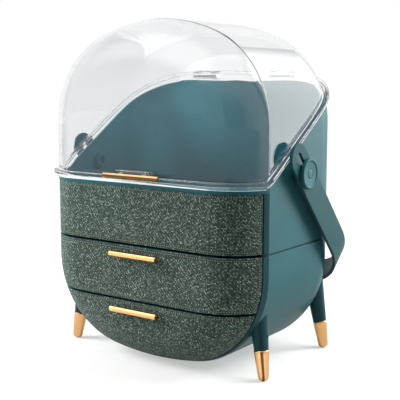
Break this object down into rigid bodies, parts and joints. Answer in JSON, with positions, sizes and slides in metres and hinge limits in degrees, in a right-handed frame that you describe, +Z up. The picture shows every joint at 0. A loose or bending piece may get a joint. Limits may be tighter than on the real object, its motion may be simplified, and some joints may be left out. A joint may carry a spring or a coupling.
{
  "type": "domed makeup organizer",
  "caption": "Pillow-shaped make-up organizer with a clear tip-back lid, a top compartment, pull-out drawers with fabric fronts, splayed legs and a swinging carrying strap.",
  "frame": {"origin": "floor level below the middle of the overall bounding box", "axes": "+Z up, -Y is the front with the drawers, +X is the right-hand side seen from the front"},
  "size_m": [0.3118, 0.2376, 0.372],
  "materials": {
    "teal_plastic": "satin moulded plastic, dark teal",
    "tray_plastic": "fine matt moulded plastic, dark teal",
    "strap_plastic": "satin flexible plastic, dark teal",
    "woven_fabric": "coarse woven cloth, dark green threads with pale flecks",
    "gold_metal": "warm gold plated metal, satin",
    "steel": "brushed",
    "clear_plastic": "clear polished plastic"
  },
  "bodies": {
    "case": {"lower_case": "teal_plastic", "upper_case": "teal_plastic", "upper_front_fabric": "woven_fabric", "upper_runners": "tray_plastic", "lower_runners": "tray_plastic", "hinge_brackets": "steel", "hinge_pins": "steel", "hinge_screws": "steel", "strap_bearings": "teal_plastic", "leg_front_left": "teal_plastic", "leg_front_right": "teal_plastic", "leg_back_left": "teal_plastic", "leg_back_right": "teal_plastic", "cap_front_left": "gold_metal", "cap_front_right": "gold_metal", "cap_back_left": "gold_metal", "cap_back_right": "gold_metal", "leg_screws": "steel", "case_screws": "steel"},
    "upper_drawer": {"upper_drawer_front": "teal_plastic", "upper_drawer_fabric": "woven_fabric", "upper_drawer_tray": "tray_plastic", "upper_drawer_handle": "gold_metal", "upper_handle_screws": "steel"},
    "lower_drawer": {"lower_drawer_front": "teal_plastic", "lower_drawer_fabric": "woven_fabric", "lower_drawer_tray": "tray_plastic", "lower_drawer_handle": "gold_metal", "lower_handle_screws": "steel"},
    "lid": {"lid_shell": "clear_plastic", "lid_handle": "gold_metal", "lid_handle_screws": "steel", "lid_hinge_lugs": "clear_plastic"},
    "strap_pivots": {"strap_bushes": "teal_plastic", "strap_nuts": "teal_plastic", "strap_button_left": "teal_plastic", "strap_button_right": "teal_plastic"},
    "strap": {"strap": "strap_plastic"}
  },
  "joints": [
    {"name": "lid_hinge", "type": "hinge", "parent": "case", "child": "lid", "pos_m": [0, 0.09922, 0.31428], "axis": [-1, 0, 0], "range_deg": [0, 95]},
    {"name": "upper_drawer_slide", "type": "slide", "parent": "case", "child": "upper_drawer", "axis": [0, -1, 0], "range_m": [0, 0.1]},
    {"name": "lower_drawer_slide", "type": "slide", "parent": "case", "child": "lower_drawer", "axis": [0, -1, 0], "range_m": [0, 0.1]},
    {"name": "strap_swing", "type": "hinge", "parent": "case", "child": "strap_pivots", "pos_m": [0, -0.01378, 0.212], "axis": [1, 0, 0], "range_deg": [0, 225]},
    {"name": "strap_slide", "type": "slide", "parent": "strap_pivots", "child": "strap", "axis": [0, 0.6691, -0.7431], "range_m": [0, 0.024]}
  ]
}
